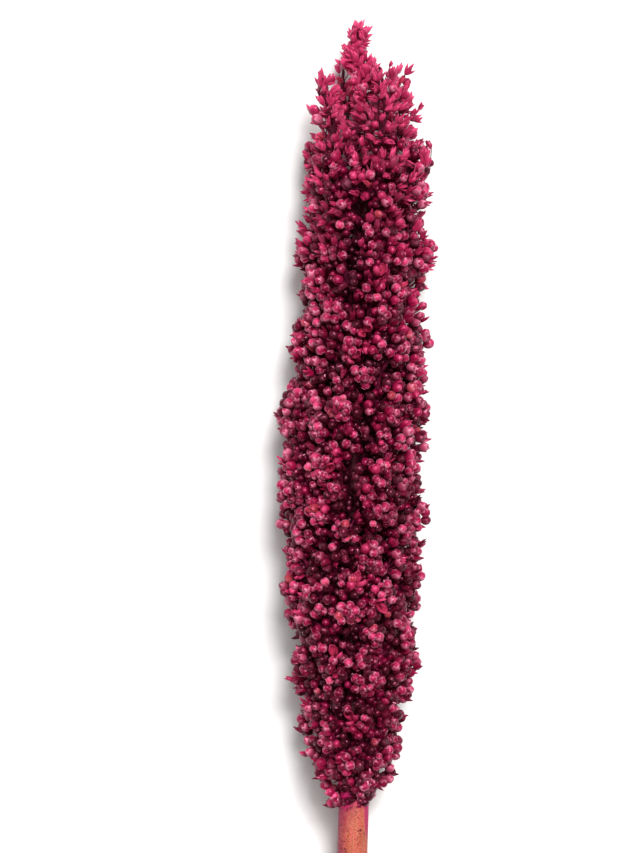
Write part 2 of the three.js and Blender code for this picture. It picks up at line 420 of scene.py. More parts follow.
def pick(ob, wanted, kind="FACE"):
    """Selects the faces, or vertices, of the mesh being edited that pass the test."""
    bpy.ops.mesh.select_mode(type=kind)
    bpy.ops.mesh.select_all(action="DESELECT")
    mesh = bmesh.from_edit_mesh(ob.data)
    for part in mesh.faces if kind == "FACE" else mesh.verts:
        if wanted(part):
            part.select_set(True)
    mesh.select_flush_mode()
    bmesh.update_edit_mesh(ob.data)


def start_shape(name, add, **settings):
    """A new object from one of Blender's own shapes, being edited with all of it selected."""
    deselect()
    add(calc_uvs=True, **settings)
    ob = bpy.context.object
    ob.name = name
    bpy.ops.object.mode_set(mode="EDIT")
    bpy.ops.mesh.select_all(action="SELECT")
    return ob


def add_sphere(name, segments, rings, scale):
    """A ball squashed to three widths, the start of a grain or a bract."""
    ball = {"segments": segments, "ring_count": rings, "radius": 1}
    ob = start_shape(name, bpy.ops.mesh.primitive_uv_sphere_add, **ball)
    bpy.ops.transform.resize(value=[s / 2 for s in scale], center_override=(0, 0, 0))
    return ob


def apply_modifier(ob, kind, **settings):
    """Adds a modifier to the object and applies it."""
    choose(ob)
    bpy.ops.object.modifier_add(type=kind)
    modifier = ob.modifiers[-1]
    for key, value in settings.items():
        setattr(modifier, key, value)
    bpy.ops.object.modifier_apply(modifier=modifier.name)


def copy_of(ob, matrix):
    """A copy with its own mesh, moved by a matrix."""
    other = ob.copy()
    other.data = ob.data.copy()
    other.data.transform(matrix)
    bpy.context.collection.objects.link(other)
    return other


def joined(name, objects):
    choose(*objects)
    bpy.ops.object.join()
    made = bpy.context.object
    made.name = made.data.name = name
    return made


def remove(*objects):
    for ob in objects:
        bpy.data.objects.remove(ob)


GRAIN, HUSK, TWIG = range(3)  # material places on a branch
FOOT_STRIP = ((0, 0), (1, 0.1))  # where the thin parts of a spikelet lie in its bake map


def note_growth(ob, along, across, edge):
    """Stores on each vertex what its material reads: its share of the height, how far it is across
    in millimetres, and how near it is to a thin edge."""
    kept = ob.data.attributes.new("growth", "FLOAT_VECTOR", "POINT")
    kept.data.foreach_set("vector", np.stack([along, across, edge], 1).astype(np.float32).ravel())


def cover(ob, place):
    """Gives every face the material at one of those places."""
    ob.data.polygons.foreach_set("material_index", [place] * len(ob.data.polygons))


def vertices_of(ob):
    co = np.empty(len(ob.data.vertices) * 3, np.float32)
    ob.data.vertices.foreach_get("co", co)
    return co.reshape(-1, 3)


def place_map(ob, low, high):
    """Moves the object's bake map into a part of the unit square."""
    layer = ob.data.uv_layers[0]
    layer.name = "OFBake"
    uv = np.empty(len(layer.data) * 2, np.float32)
    layer.data.foreach_get("uv", uv)
    uv = np.clip(uv.reshape(-1, 2), 0, 1)
    uv = np.array(low) + uv * (np.array(high) - np.array(low))
    layer.data.foreach_set("uv", uv.astype(np.float32).ravel())


GRAIN_TALL = 1.12  # height of a grain for its width
HUSK_MIDDLE = math.radians(22.5)  # where the middle of the first husk stands round the grain


def model_grain(name, segments=8, rings=6):
    """A round grain, its foot at the origin, clasped by two husks that come to a point near its
    crown. The husks are raised from the ball, so that the piece stays one closed skin."""
    width, thick = sizes().grain, sizes().husk
    ob = add_sphere(name, segments, rings, (width, width, width))
    radius = width / 2

    def in_husk(face):
        middle = face.calc_center_median()
        turn = math.atan2(middle.y, middle.x) - HUSK_MIDDLE
        off = abs(math.remainder(turn, math.pi))
        low = middle.z < (0.8 if off < 0.3 else 0.45) * radius
        return off < math.radians(60) and low

    pick(ob, in_husk)
    bpy.ops.mesh.extrude_region_shrink_fatten(TRANSFORM_OT_shrink_fatten={"value": thick})
    mesh = bmesh.from_edit_mesh(ob.data)
    raised = {v.index for f in mesh.faces if f.select for v in f.verts}
    rim = {v.index for v in mesh.verts if v.index in raised and not all(f.select for f in v.link_faces)}
    for side in (HUSK_MIDDLE, HUSK_MIDDLE + math.pi):
        toward = Vector((math.cos(side), math.sin(side), 0))

        def at_tip(v, toward=toward):
            return v.index in raised and v.co.z > 0.8 * radius and v.co.dot(toward) > 0

        pick(ob, at_tip, "VERT")
        tip = toward * 0.45 * radius + Vector((0, 0, 0.95 * radius))
        bpy.ops.transform.resize(value=(0.35, 0.35, 1), center_override=tip)
    pick(ob, lambda v: v.co.z > 0.98 * radius, "VERT")
    bpy.ops.transform.translate(value=(0, 0, 0.08 * radius))
    bpy.ops.mesh.select_all(action="SELECT")
    bpy.ops.transform.translate(value=(0, 0, radius))
    bpy.ops.transform.resize(value=(1, 1, GRAIN_TALL), center_override=(0, 0, 0))
    mesh = bmesh.from_edit_mesh(ob.data)
    for face in mesh.faces:
        face.material_index = HUSK if any(v.index in raised for v in face.verts) else GRAIN
    bmesh.update_edit_mesh(ob.data)
    deselect()
    co = vertices_of(ob)
    turn = np.arctan2(co[:, 1], co[:, 0]) - HUSK_MIDDLE
    off = turn - np.pi * np.round(turn / np.pi)
    along = co[:, 2] / co[:, 2].max()
    on_rim = np.array([i in rim for i in range(len(co))], float)
    note_growth(ob, along, off * radius / MM, np.where(on_rim, along, 0.25 * along))
    return ob


def model_bract(name, long, wide, thick, bend):
    """A lance-shaped bract that stands on the origin: cupped, widest below its middle, drawn to a
    sharp tip, and bent outwards."""
    ob = add_sphere(name, 6, 5, (wide, thick, long))
    bpy.ops.transform.translate(value=(0, 0, long / 2))
    pick(ob, lambda v: 0.8 * long < v.co.z < 0.95 * long, "VERT")
    bpy.ops.transform.resize(value=(0.5, 0.7, 1), center_override=(0, 0, 0.9 * long))
    pick(ob, lambda v: 0.5 * long < v.co.z < 0.8 * long, "VERT")
    bpy.ops.transform.resize(value=(0.86, 0.9, 1), center_override=(0, 0, 0.6 * long))
    pick(ob, lambda v: v.co.z < 0.15 * long, "VERT")
    bpy.ops.transform.resize(value=(0.7, 1, 1), center_override=(0, 0, 0))
    pick(ob, lambda v: abs(v.co.x) > 0.3 * wide, "VERT")
    bpy.ops.transform.translate(value=(0, -0.2 * wide, 0))
    co = np.array([v.co for v in bmesh.from_edit_mesh(ob.data).verts])
    deselect()
    along = co[:, 2] / long
    sideways = abs(co[:, 0]) / (wide / 2)
    note_growth(ob, along, co[:, 0] / MM, np.clip(np.maximum(0.8 * sideways, along**2), 0, 1))
    cover(ob, HUSK)
    apply_modifier(ob, "SIMPLE_DEFORM", deform_method="BEND", deform_axis="X", angle=bend)
    return ob


def model_cup(name, long, wide, thick):
    """Half a husk shell, cupped like a boat and open towards -Y, standing on the origin."""
    ob = add_sphere(name, 8, 6, (wide, wide * 0.9, long))
    bpy.ops.transform.translate(value=(0, 0, long / 2))
    bpy.ops.mesh.bisect(plane_co=(0, 0, 0), plane_no=(0, -1, 0), clear_outer=True)
    pick(ob, lambda v: v.co.z > 0.85 * long, "VERT")
    bpy.ops.transform.resize(value=(0.6, 0.8, 1), center_override=(0, 0, 0.9 * long))
    deselect()
    co = vertices_of(ob)
    along = co[:, 2] / long
    rim = co[:, 1] < 0.05 * wide
    note_growth(ob, along, co[:, 0] / MM, np.where(rim, 0.6 + 0.4 * along, 0.3 * along))
    cover(ob, HUSK)
    apply_modifier(ob, "SOLIDIFY", thickness=thick, offset=-1.0)
    return ob


def tilted(turn, tilt, foot=(0, 0, 0)):
    """A matrix that leans a piece outwards and turns it round the upright axis."""
    return Matrix.Translation(foot) @ Matrix.Rotation(turn, 4, "Z") @ Matrix.Rotation(-tilt, 4, "X")


def model_floret_grain(name):
    """A grain with the slender barren floret that stands beside it on the same twig."""
    grain = model_grain("floret_grain_body")
    place_map(grain, (0, 0.5), (1, 1))
    bract = model_bract("floret_grain_bract", 4.0 * MM, 1.5 * MM, 0.8 * MM, -0.5)
    place_map(bract, (0, 0.12), (1, 0.48))
    beside = copy_of(bract, tilted(math.radians(200), math.radians(20), (0.7 * MM, -0.9 * MM, 0)))
    remove(bract)
    return joined(name, [beside, grain])


def model_tuft(name, bracts):
    """A tuft of pointed bracts round one foot. Each is given as its turn and lean in degrees, its
    length, width and thickness in millimetres."""
    made = []
    for i, (turn, lean, long, wide, thick) in enumerate(bracts):
        bract = model_bract(f"{name}_{i}", long * MM, wide * MM, thick * MM, -0.5)
        low = 0.12 + 0.88 * i / len(bracts)
        place_map(bract, (0, low), (1, low + 0.8 / len(bracts)))
        made.append(copy_of(bract, tilted(math.radians(turn), math.radians(lean))))
        remove(bract)
    return joined(name, made)


def model_open_husk(name):
    """An open spikelet: two cupped husks that gape, with two narrow bracts between them."""
    cup = model_cup("open_cup", 4.3 * MM, 2.5 * MM, sizes().husk)
    place_map(cup, (0, 0.56), (0.48, 1))
    other = copy_of(cup, tilted(math.pi, math.radians(24)))
    place_map(other, (1.04, -0.16), (2.04, 1.0))
    first = copy_of(cup, tilted(0, math.radians(24)))
    remove(cup)
    inner = model_bract("open_bract", 3.6 * MM, 1.3 * MM, 0.35 * MM, -0.3)
    place_map(inner, (0, 0.14), (1, 0.5))
    sides = [copy_of(inner, tilted(math.radians(t), math.radians(12))) for t in (80, 255)]
    remove(inner)
    return joined(name, [first, other, *sides])


def model_inner_grain(name):
    """A grain of the crowded inner rows, of which only the crown is ever seen."""
    width = sizes().grain
    ob = add_sphere(name, 6, 5, (width, width, width * GRAIN_TALL))
    bpy.ops.transform.translate(value=(0, 0, width / 2))
    deselect()
    co = vertices_of(ob)
    note_growth(ob, co[:, 2] / co[:, 2].max(), co[:, 0] / MM, np.zeros(len(co)))
    place_map(ob, (0, 0.14), (1, 1))
    return ob


def model_twig(name):
    """A twig of unit length and width along +Z, with a joint that makes it crooked."""
    ob = start_shape(name, bpy.ops.mesh.primitive_cylinder_add, vertices=5, radius=0.5, depth=0.5)
    bpy.ops.transform.translate(value=(0, 0, 0.25))
    pick(ob, lambda f: f.normal.z > 0.9)
    bpy.ops.transform.translate(value=(0.22, 0, 0))
    bpy.ops.mesh.extrude_region_move(TRANSFORM_OT_translate={"value": (-0.22, 0, 0.5)})
    bpy.ops.transform.resize(value=(0.75, 0.75, 1), center_override=(0, 0, 1))
    deselect()
    co = vertices_of(ob)
    note_growth(ob, co[:, 2], co[:, 0], np.zeros(len(co)))
    cover(ob, TWIG)
    place_map(ob, *FOOT_STRIP)
    return ob


def model_pedicel(name):
    """The thin stalk of one spikelet, of unit length and width along +Z."""
    cone = {"vertices": 4, "radius1": 0.5, "radius2": 0.4, "depth": 1}
    ob = start_shape(name, bpy.ops.mesh.primitive_cone_add, **cone)
    bpy.ops.transform.translate(value=(0, 0, 0.5))
    deselect()
    co = vertices_of(ob)
    note_growth(ob, co[:, 2], co[:, 0], np.zeros(len(co)))
    cover(ob, TWIG)
    place_map(ob, *FOOT_STRIP)
    return ob


def model_anther(name):
    """A dried anther: a tiny curled strip that is caught between the grains."""
    rod = {"vertices": 4, "radius": 0.16 * MM, "depth": 0.7 * MM}
    ob = start_shape(name, bpy.ops.mesh.primitive_cylinder_add, **rod)
    pick(ob, lambda f: f.normal.z > 0.9)
    for turn in (0.7, 0.7):
        bpy.ops.mesh.extrude_region_move(TRANSFORM_OT_translate={"value": (0.15 * MM, 0, 0.6 * MM)})
        bpy.ops.transform.rotate(value=turn, orient_axis="Y", center_override=(0.8 * MM, 0, 0.3 * MM))
    deselect()
    co = vertices_of(ob)
    note_growth(ob, np.ones(len(co)), co[:, 0] / MM, np.full(len(co), 0.95))
    cover(ob, HUSK)
    place_map(ob, *FOOT_STRIP)
    return ob


# The bracts of a tuft: turn and lean in degrees, length, width and thickness in millimetres. The
# last one is the plump bud in the middle.
FLORET = (
    (0, 22, 3.9, 1.5, 0.8),
    (130, 16, 4.3, 1.4, 0.8),
    (245, 34, 3.5, 1.5, 0.8),
    (60, 4, 3.5, 1.9, 1.8),
)
SPIKY_FLORET = (
    (20, 38, 3.9, 1.1, 0.7),
    (110, 12, 4.6, 1.2, 0.8),
    (195, 42, 3.6, 1.1, 0.7),
    (285, 24, 4.2, 1.2, 0.8),
    (60, 2, 3.2, 1.6, 1.5),
)


def model_patterns():
    """One of each thing that is planted over the head."""
    grain = model_grain("pattern_grain")
    place_map(grain, (0, 0.14), (1, 1))
    return {
        "grain": grain,
        "floret_grain": model_floret_grain("pattern_floret_grain"),
        "floret": model_tuft("pattern_floret", FLORET),
        "spiky_floret": model_tuft("pattern_spiky_floret", SPIKY_FLORET),
        "open_husk": model_open_husk("pattern_open_husk"),
        "inner_grain": model_inner_grain("pattern_inner_grain"),
        "twig": model_twig("pattern_twig"),
        "pedicel": model_pedicel("pattern_pedicel"),
        "anther": model_anther("pattern_anther"),
    }


class Pattern:
    """What planting needs to know of a modelled pattern."""

    def __init__(self, ob):
        mesh = ob.data
        self.co = vertices_of(ob).astype(float)
        self.faces = [tuple(f.vertices) for f in mesh.polygons]
        self.place = [f.material_index for f in mesh.polygons]
        uv = np.empty(len(mesh.loops) * 2, np.float32)
        mesh.uv_layers["OFBake"].data.foreach_get("uv", uv)
        self.uv = uv.reshape(-1, 2)
        growth = np.empty(len(self.co) * 3, np.float32)
        mesh.attributes["growth"].data.foreach_get("vector", growth)
        self.growth = growth.reshape(-1, 3)


ABOVE_FLOOR = 0.05 * MM  # least height of what would otherwise sink into the floor
CELL_EDGE = 0.04  # free edge of a cell in the bake map


def plant(name, batches, materials, cells):
    """One mesh that holds many copies of the patterns. A batch is a pattern, and for each copy its
    three axes, its foot, its dye and its cell in the bake map."""
    across = math.ceil(math.sqrt(cells))
    points, faces, places, maps, growths, dyes = [], [], [], [], [], []
    start = 0
    for pattern, axes, feet, dye, cell in batches:
        co = np.einsum("nj,kji->kni", pattern.co, axes) + feet[:, None]
        co[:, :, 2] -= np.minimum(co[:, :, 2].min(1) - ABOVE_FLOOR, 0)[:, None]
        points.append(co.reshape(-1, 3))
        size = len(pattern.co)
        for k in range(len(feet)):
            base = start + k * size
            faces.extend(tuple(base + i for i in face) for face in pattern.faces)
        places.extend(pattern.place * len(feet))
        corner = np.stack([cell % across, cell // across], 1)
        inside = CELL_EDGE + (1 - 2 * CELL_EDGE) * pattern.uv
        maps.append(((corner[:, None] + inside) / across).reshape(-1, 2))
        growths.append(np.tile(pattern.growth, (len(feet), 1)))
        dyes.append(np.repeat(dye, size, axis=0))
        start += size * len(feet)
    mesh = bpy.data.meshes.new(name)
    mesh.from_pydata(np.concatenate(points), [], faces)
    mesh.polygons.foreach_set("material_index", places)
    mesh.uv_layers.new(name="OFBake").data.foreach_set("uv", np.concatenate(maps).ravel())
    for label, values in (("growth", growths), ("dye", dyes)):
        kept = mesh.attributes.new(label, "FLOAT_VECTOR", "POINT")
        kept.data.foreach_set("vector", np.concatenate(values).astype(np.float32).ravel())
    for material in materials:
        mesh.materials.append(material)
    ob = bpy.data.objects.new(name, mesh)
    bpy.context.collection.objects.link(ob)
    choose(ob)
    bpy.ops.object.shade_smooth_by_angle(angle=math.radians(55))
    return ob


# ---- Where the spikelets stand ----

GROW = np.array([0.0, 1.0, 0.0])  # the way the head grows
UP = np.array([0.0, 0.0, 1.0])


def unit(vectors):
    return vectors / np.maximum(np.linalg.norm(vectors, axis=-1, keepdims=True), 1e-12)


def smoothstep(value, low, high):
    t = np.clip((value - low) / (high - low), 0, 1)
    return t * t * (3 - 2 * t)


def branch_triangles():
    """All triangles of the branch solids, and the branch that each belongs to."""
    triangles, owners = [], []
    for i, node in enumerate(BRANCHES):
        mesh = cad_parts[node].data
        mesh.calc_loop_triangles()
        index = np.empty(len(mesh.loop_triangles) * 3, np.int32)
        mesh.loop_triangles.foreach_get("vertices", index)
        triangles.append(corners_of(node)[index].reshape(-1, 3, 3))
        owners.append(np.full(len(triangles[-1]), i))
    return np.concatenate(triangles), np.concatenate(owners)


def scattered(triangles, owners, rng, area_each):
    """Points spread evenly over the triangles, with normals and owners."""
    cross = np.cross(triangles[:, 1] - triangles[:, 0], triangles[:, 2] - triangles[:, 0])
    area = np.linalg.norm(cross, axis=1) / 2
    chosen = rng.choice(len(area), int(area.sum() / area_each), p=area / area.sum())
    u, v = rng.random((2, len(chosen), 1))
    u, v = np.where(u + v > 1, 1 - u, u), np.where(u + v > 1, 1 - v, v)
    a, b, c = (triangles[chosen, k] for k in range(3))
    return a + u * (b - a) + v * (c - a), unit(cross[chosen]), owners[chosen]


STRANDS_FROM = 190  # height in the head, in millimetres, above which the branches stand apart
CAST_FROM = 45 * MM  # farther out than any branch
LEAST_RADIUS = 6.5 * MM  # of the head at its foot, where grains sit round the stem


def widened(grid, steps, pick_one):
    """Each value replaced by the largest, or least, of those within some steps of it."""
    for axis, mode in ((0, "edge"), (1, "wrap")):
        pads = [(steps, steps) if axis == k else (0, 0) for k in (0, 1)]
        wide = np.pad(grid, pads, mode=mode)
        size = grid.shape[axis]
        slides = [np.take(wide, range(i, i + size), axis) for i in range(2 * steps + 1)]
        grid = pick_one(slides, axis=0)
    return grid


class Envelope:
    """The outside of the head as a radius for each height and angle. The gaps between neighbouring
    branches are closed, as their grains close them."""

    TURNS = 144
    STEP = 1.0 * MM

    def __init__(self, tree):
        self.low = HEAD_FOOT - 1.5 * MM
        rows = int((HEAD_FOOT + STRANDS_FROM * MM - self.low) / self.STEP)
        y = self.low + self.STEP * np.arange(rows)
        angle = np.linspace(0, 2 * math.pi, self.TURNS, endpoint=False)
        ways = np.stack([np.cos(angle), 0 * angle, np.sin(angle)], -1)
        grid = np.zeros((rows, self.TURNS))
        for i, middle in enumerate(axis_at(y)):
            for k, way in enumerate(ways):
                _, _, _, far = tree.ray_cast(Vector(middle + way * CAST_FROM), Vector(-way), CAST_FROM)
                grid[i, k] = CAST_FROM - far if far else 0
        grid = np.maximum(widened(widened(grid, 4, np.max), 4, np.min), LEAST_RADIUS)
        self.grid = widened(grid, 1, np.mean)
        self.smooth = widened(grid, 3, np.mean)

    def read(self, grid, y, angle):
        i = np.clip((y - self.low) / self.STEP, 0, len(grid) - 1.001)
        k = angle / (2 * math.pi) * self.TURNS % self.TURNS
        i0, k0 = i.astype(int), k.astype(int)
        k1, u, v = (k0 + 1) % self.TURNS, i - i0, k - k0
        low = grid[i0, k0] * (1 - v) + grid[i0, k1] * v
        high = grid[i0 + 1, k0] * (1 - v) + grid[i0 + 1, k1] * v
        return low * (1 - u) + high * u

    def sample(self, count, rng):
        """Points spread over the envelope, with their normals."""
        y = self.low + self.STEP * (len(self.grid) - 1) * rng.random(count)
        angle = 2 * math.pi * rng.random(count)
        radius = self.read(self.grid, y, angle)
        keep = rng.random(count) < radius / self.grid.max()
        y, angle, radius = y[keep], angle[keep], radius[keep]
        out = np.stack([np.cos(angle), 0 * angle, np.sin(angle)], -1)
        round_ = np.stack([-np.sin(angle), 0 * angle, np.cos(angle)], -1)
        near, turn = 2 * MM, 2 * MM / radius
        climb = self.read(self.smooth, y + near, angle) - self.read(self.smooth, y - near, angle)
        swing = self.read(self.smooth, y, angle + turn) - self.read(self.smooth, y, angle - turn)
        slope_y, slope_turn = climb / (2 * near), swing / (2 * near)
        normals = unit(out - slope_y[:, None] * GROW - slope_turn[:, None] * round_)
        return axis_at(y) + radius[:, None] * out, normals


def thinned(points, order, apart):
    """Points that keep their distance from each other, the first in order kept first."""
    tree = KDTree(len(points))
    for i, p in enumerate(points):
        tree.insert(p, i)
    tree.balance()
    free = np.ones(len(points), bool)
    kept = []
    for i in order:
        if free[i]:
            kept.append(i)
            for _, j, _ in tree.find_range(points[i], apart[i]):
                free[j] = False
    return np.array(kept)


CLEFT_DEPTH = 2.3 * MM  # where a groove is deeper than this, no spikelet stands over it
CROWDED_TO = 198  # height in the head, in millimetres, below which grains lie under the outer ones
# Rows of inner grains: how far under that height each one ends, and how much wider it is spaced.
INNER_ROWS = ((0, 1.0), (8, 0.9), (8, 1.25))
ROW_STEP = 3.4 * MM  # how much deeper each of these rows lies
SAMPLES = 60000  # places tried for spikelets, before they are thinned to their spacing
UNEVEN = 0.45 * MM  # how far a spikelet may stand in or out
KNOT_DEPTH = 4.6 * MM  # how deep under a lump the end of its twig lies
KNOT_DROP = 2.0 * MM  # and how far down the head from it
FORK_BELOW = 5 * MM  # how far down the head from its end a twig leaves the branch
PATH_DEPTH = 7.5 * MM  # how deep under the outline the middle line of a branch stays
BRANCH_WIDTHS = (2.0 * MM, 0.9 * MM)  # of the branch itself, at the rachis and at its end
PEDICEL_WIDTH = 0.42 * MM
ANTHER_ASIDE = 1.1 * MM  # how far a dried anther lies beside the crown of its spikelet
ANTHER_SUNK = 0.9 * MM  # and how far below it

# Grooves between the branches, seen as long dark clefts. Each runs between two heights in the head,
# in millimetres, at an angle round it in degrees from +X over +Z, with a width and a depth.
GROOVES = (
    (150, 182, 102, 2.2, 4.6),
    (84, 107, 96, 2.2, 6.0),
    (64, 80, 112, 2.0, 4.6),
    (56, 78, 50, 2.4, 6.0),
    (60, 73, 141, 2.0, 4.2),
    (124, 140, 70, 1.8, 4.6),
    (122, 136, 113, 1.8, 4.2),
    (106, 119, 81, 1.8, 4.2),
    (102, 116, 53, 2.0, 4.6),
    (28, 50, 130, 2.2, 4.6),
    (40, 53, 80, 2.0, 4.2),
    (17, 27, 118, 2.0, 3.6),
    (60, 96, 172, 2.0, 2.8),
    (120, 165, 30, 2.0, 2.8),
    (40, 90, 210, 2.2, 3.0),
    (90, 150, 250, 2.2, 3.0),
    (50, 100, 300, 2.2, 3.0),
    (120, 175, 335, 2.2, 3.0),
)
# Twigs that stand proud of the outline: a height in millimetres, an angle in degrees, and how far.
STRAYS = (
    (6, 178, 2.6, 4.0),
    (9, 0, 1.6, 4.0),
    (30, 176, 2.8, 4.0),
    (165, 4, 2.8, 4.5),
    (68, 8, 1.2, 4.0),
    (120, 184, 1.4, 4.5),
    (72, 180, 1.2, 4.0),
    (96, 300, 1.5, 4.0),
    (140, 230, 1.8, 4.0),
    (52, 262, 1.2, 4.0),
)
# Open, paler husks on the upper side: height in the head and distance across it, in millimetres.
OPEN_HUSKS = (
    (25.5, -2.7), (45.6, -5.1), (139, 2.7), (47, 1.5), (20, 6.6),
    (66, 2.4), (131, 0.6), (58.5, 7.5), (38, 11), (99, -8), (158, 7),
)
# Plump grains whose dye ran off, so that their own orange red shows: height and distance across.
WARM_GRAINS = (
    (99.3, -14.7), (100.6, -7.1), (101, 8.9), (79.6, -3.1), (53.9, 2), (83.2, 3.8), (150, 6),
    (121, -4), (36, -6), (66, -9), (172, -3),
)


def pushed(points):
    """How far each point is moved outwards by the grooves and the stray twigs."""
    middle = axis_at(points[:, 1])
    height = (points[:, 1] - HEAD_FOOT) / MM
    angle = np.degrees(np.arctan2(points[:, 2] - middle[:, 2], points[:, 0] - middle[:, 0]))
    radius = np.linalg.norm(points - middle, axis=1) / MM
    push = np.zeros(len(points))
    for low, high, at, wide, deep in GROOVES:
        wander = 2.0 * np.sin(height / 7 + at)
        side = np.radians((angle - at + 180) % 360 - 180) * radius + wander
        ends = smoothstep(height, low - 6, low + 4) * smoothstep(-height, -high - 6, -high + 4)
        push -= deep * MM * ends * np.exp(-((side / wide) ** 2))
    for at_height, at, far, reach in STRAYS:
        side = np.radians((angle - at + 180) % 360 - 180) * radius
        push += far * MM * np.exp(-(side**2 + (height - at_height) ** 2) / reach**2)
    return push


def relief(points):
    """Slow unevenness of the head's surface, in metres."""
    return np.array([noise.noise(Vector(p) / (13 * MM)) for p in points]) * 1.6 * MM


def axes_along(direction, roll, scale):
    """Three scaled axes for each copy, the third along its direction, turned round it by roll."""
    helper = np.where(abs(direction[:, 2:3]) < 0.9, UP, GROW)
    x = unit(np.cross(helper, direction))
    y = np.cross(direction, x)
    c, s = np.cos(roll)[:, None], np.sin(roll)[:, None]
    axes = np.stack([x * c + y * s, y * c - x * s, direction], 1)
    return axes * scale[:, None, None]


def twig_axes(start, end, width):
    """Axes that lay the unit twig from a start to an end."""
    along = end - start
    axes = axes_along(unit(along), np.zeros(len(along)), np.ones(len(along)))
    axes[:, :2] *= width[:, None, None]
    axes[:, 2] *= np.linalg.norm(along, axis=1)[:, None]
    return axes


def kinds_of(share, rng):
    """What kind of spikelet stands at each share of the height: plump grains low on the head,
    giving way to pointed florets in its top quarter."""
    top = smoothstep(share, 0.62, 0.9)
    pull = rng.random(len(share))
    kinds = np.full(len(share), "grain", dtype="U12")
    bounds = (
        ("floret_grain", 0.62 - 0.6 * top, 0.22 - 0.1 * top),
        ("floret", 0.84 - 0.7 * top, 0.06 + 0.42 * top),
        ("spiky_floret", 0.94 - 0.38 * top, 0.02 + 0.42 * top),
    )
    for kind, low, wide in bounds:
        kinds[(pull >= low) & (pull < low + wide)] = kind
    return kinds


